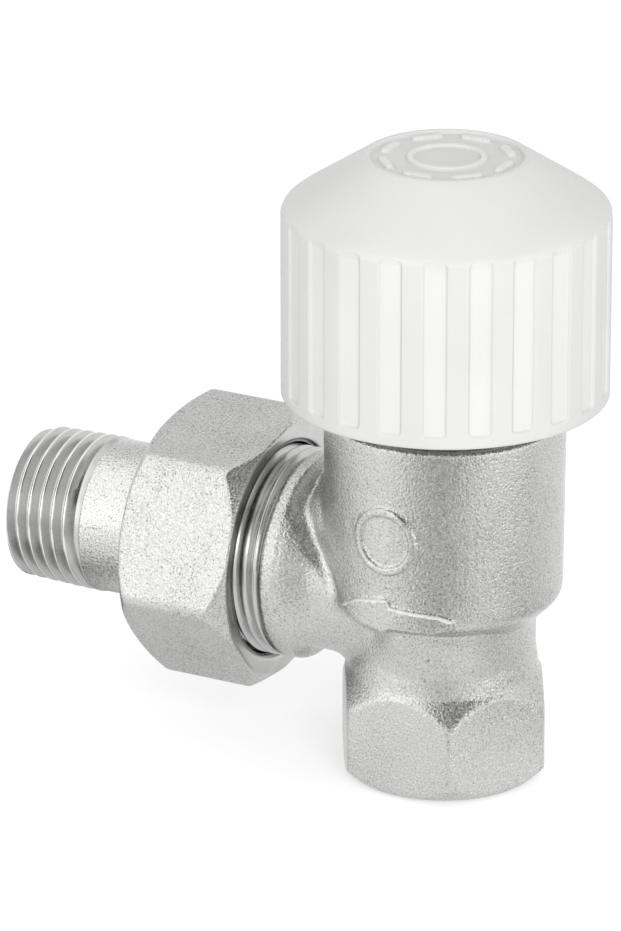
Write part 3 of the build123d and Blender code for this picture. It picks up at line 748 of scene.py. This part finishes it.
# glowing grey cards that only the metal reflects, painted shade in its surroundings: on the table by distance
# and bearing, or hung by direction and size; lights by direction, distance, size, power and what they light
studio = {
    "floorTone": 0.50, "floorGlow": 0.49, "floorHalf": 4.0, "floorZ": -0.0004, "cardZ": 0.0002,
    "skyStrength": 1.1,
    "tableCards": {
        "front": ((56, 1500), (-3, 47), 0.40), "right": ((36, 75), (62, 125), 0.65),
        "far": ((75, 160), (80, 135), 0.85), "left": ((24, 59), (-118, -62), 0.8),
        "tail": ((59, 100), (-110, -66), 0.3),
    },
    "hungCards": {"gap": ((48, 49), 0.8, (0.85, 0.7), 0.03), "back": ((-150, 35), 1.0, (1.0, 0.5), 0.8)},
    "lights": {
        "front": ((34, 25), 1.1, (0.6, 0.6), 8.8, "plastic"),
        "key": ((-27, 18), 1.0, (0.9, 0.6), 1.4, "metal"),
        "high": ((-52, 60), 1.0, (1.2, 0.8), 1.3, "metal"),
        "band": ((2, 54), 1.0, (0.36, 0.3), 0.3, "metal"),
        "fill": ((82, 8), 0.9, (0.5, 0.16), 0.7, "metal"),
    },
}


def wayTo(az, el):
    az, el = math.radians(az), math.radians(el)
    return np.array((math.sin(az) * math.cos(el), -math.cos(az) * math.cos(el), math.sin(el)))


def addLight(name, way, reach, size, power, seenBy):
    # a soft box in the direction way, facing the valve
    light = bpy.data.lights.new(name, "AREA")
    light.shape = "RECTANGLE"
    light.size, light.size_y = size
    light.energy = power
    obj = bpy.data.objects.new(name, light)
    obj.location = wayTo(*way) * reach
    az, el = (math.radians(v) for v in way)
    obj.rotation_euler = (math.pi / 2 - el, 0, az)
    obj.visible_glossy = seenBy == "metal"
    obj.visible_diffuse = seenBy == "plastic"
    bpy.context.scene.collection.objects.link(obj)


def addSheet(name, points, mat):
    mesh = bpy.data.meshes.new(name)
    mesh.from_pydata(points, [], [tuple(range(len(points)))])
    mesh.materials.append(mat)
    obj = bpy.data.objects.new(name, mesh)
    bpy.context.scene.collection.objects.link(obj)
    return obj


# a dim glowing sheet hidden from the camera, diffuse light and shadows: painted shade seen only in
# reflections
def addShadeCard(name, points, tone):
    mat, tree, bsdf = newFinish("shade_card_" + name)
    bsdf.inputs["Base Color"].default_value = (0, 0, 0, 1)
    bsdf.inputs["Specular IOR Level"].default_value = 0.0
    bsdf.inputs["Emission Color"].default_value = (1, 1, 1, 1)
    bsdf.inputs["Emission Strength"].default_value = tone
    card = addSheet("shade_card_" + name, points, mat)
    card.visible_camera = card.visible_diffuse = card.visible_shadow = card.visible_transmission = False


def buildStage():
    floorMat, tree, bsdf = newFinish("pale_floor")
    tone = studio["floorTone"]
    mottle = noiseNode(tree, objectCoords(tree), 3, 2.0)
    shade = rampNode(tree, mottle, [(0.3, tone * 0.99), (0.7, tone * 1.01)])
    tree.links.new(shade, bsdf.inputs["Base Color"])
    bsdf.inputs["Roughness"].default_value = 0.9
    bsdf.inputs["Specular IOR Level"].default_value = 0.0
    bsdf.inputs["Emission Color"].default_value = (1, 1, 1, 1)  # lit from below, so shadows stay faint
    bsdf.inputs["Emission Strength"].default_value = studio["floorGlow"]
    corners = ((-1, -1), (1, -1), (1, 1), (-1, 1))
    half = studio["floorHalf"]
    addSheet("floor", [(i * half, j * half, studio["floorZ"]) for i, j in corners], floorMat)
    # each card is painted shade in the metal's reflections, on the table where the floor would lie in shade
    # or hung as a dark patch
    for name, ((near, far), (a0, a1), tone) in studio["tableCards"].items():
        bearings = np.linspace(a0, a1, 9)
        edge = [wayTo(a, 0) * near * mm for a in bearings] + [wayTo(a, 0) * far * mm for a in bearings[::-1]]
        addShadeCard(name, [(x, y, studio["cardZ"]) for x, y, z in edge], tone)
    for name, ((az, el), reach, (w, h), tone) in studio["hungCards"].items():
        mid, across = wayTo(az, el) * reach, wayTo(az + 90, 0)
        upward = np.cross(across, wayTo(az, el))
        addShadeCard(name, [tuple(mid + across * i * w / 2 + upward * j * h / 2) for i, j in corners], tone)
    world = bpy.data.worlds.new("studio")
    bpy.context.scene.world = world
    world.use_nodes = True
    sky = world.node_tree.nodes["Background"]
    sky.inputs["Color"].default_value = (1, 1, 1, 1)
    sky.inputs["Strength"].default_value = studio["skyStrength"]
    for name, light in studio["lights"].items():
        addLight(name, *light)


def buildCamera():
    cam = bpy.data.cameras.new("camera")
    cam.sensor_width = view["sensor"]
    cam.lens = view["focal"] * view["sensor"] / view["imageH"]
    cam.clip_start = 0.01
    obj = bpy.data.objects.new("camera", cam)
    obj.location = wayTo(view["azimuth"], view["elevation"]) * view["distance"] * mm + (0, 0, armZ * mm)
    obj.rotation_euler = (math.pi / 2 - math.radians(view["lookEl"]), 0, math.radians(view["lookAz"]))
    bpy.context.scene.collection.objects.link(obj)
    bpy.context.scene.camera = obj


buildStage()
buildCamera()
bpy.context.scene.view_settings.view_transform = "Standard"
print("stage, light and camera set")
